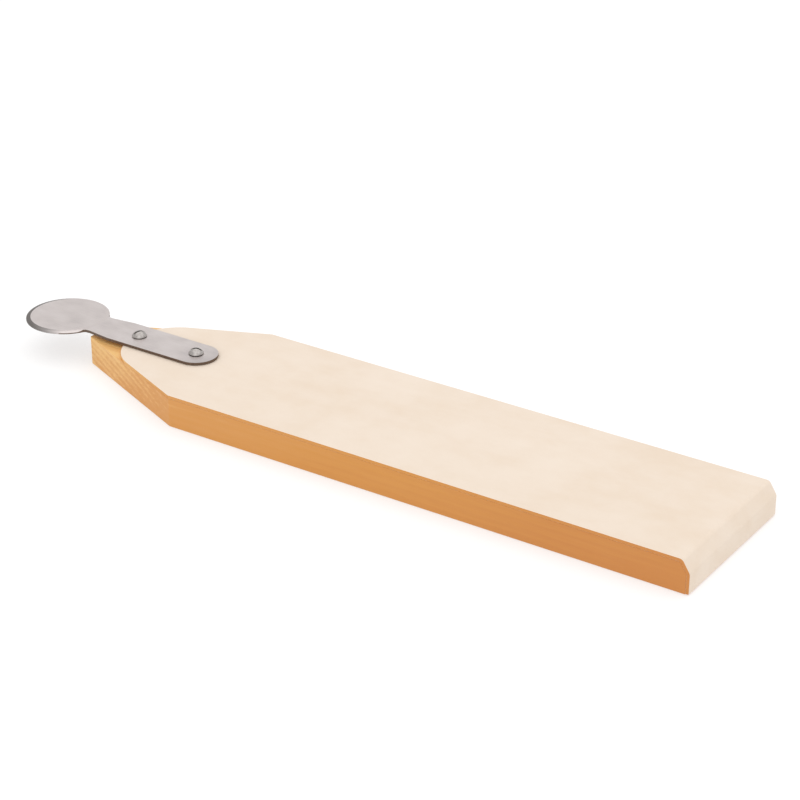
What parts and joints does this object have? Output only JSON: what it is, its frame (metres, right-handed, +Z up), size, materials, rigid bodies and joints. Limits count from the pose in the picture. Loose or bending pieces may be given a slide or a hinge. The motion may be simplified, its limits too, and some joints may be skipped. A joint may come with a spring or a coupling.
{
  "type": "leather strop",
  "caption": "Bench strop: tapered wooden board faced with pale leather that wraps over the chamfered end, with a screwed-on steel tongue plate ending in a round pad beyond the nose.",
  "frame": {"origin": "on the plane that the board lies on, under the middle of the overall length from the pad to the square end", "axes": "+X along the board from the round pad to the square end, +Y across it, +Z up out of the leather face"},
  "size_m": [0.432, 0.09, 0.0227],
  "materials": {
    "wood": "planed softwood, oiled to an orange gold, satin",
    "leather": "pale vegetable-tanned, matt, faintly mottled",
    "plate_steel": "brushed sheet steel",
    "screw_steel": "polished zinc-plated steel"
  },
  "bodies": {
    "root": {"wood_core": "wood", "leather_face": "leather", "tongue_plate": "plate_steel", "front_screw": "screw_steel", "rear_screw": "screw_steel"}
  },
  "joints": []
}
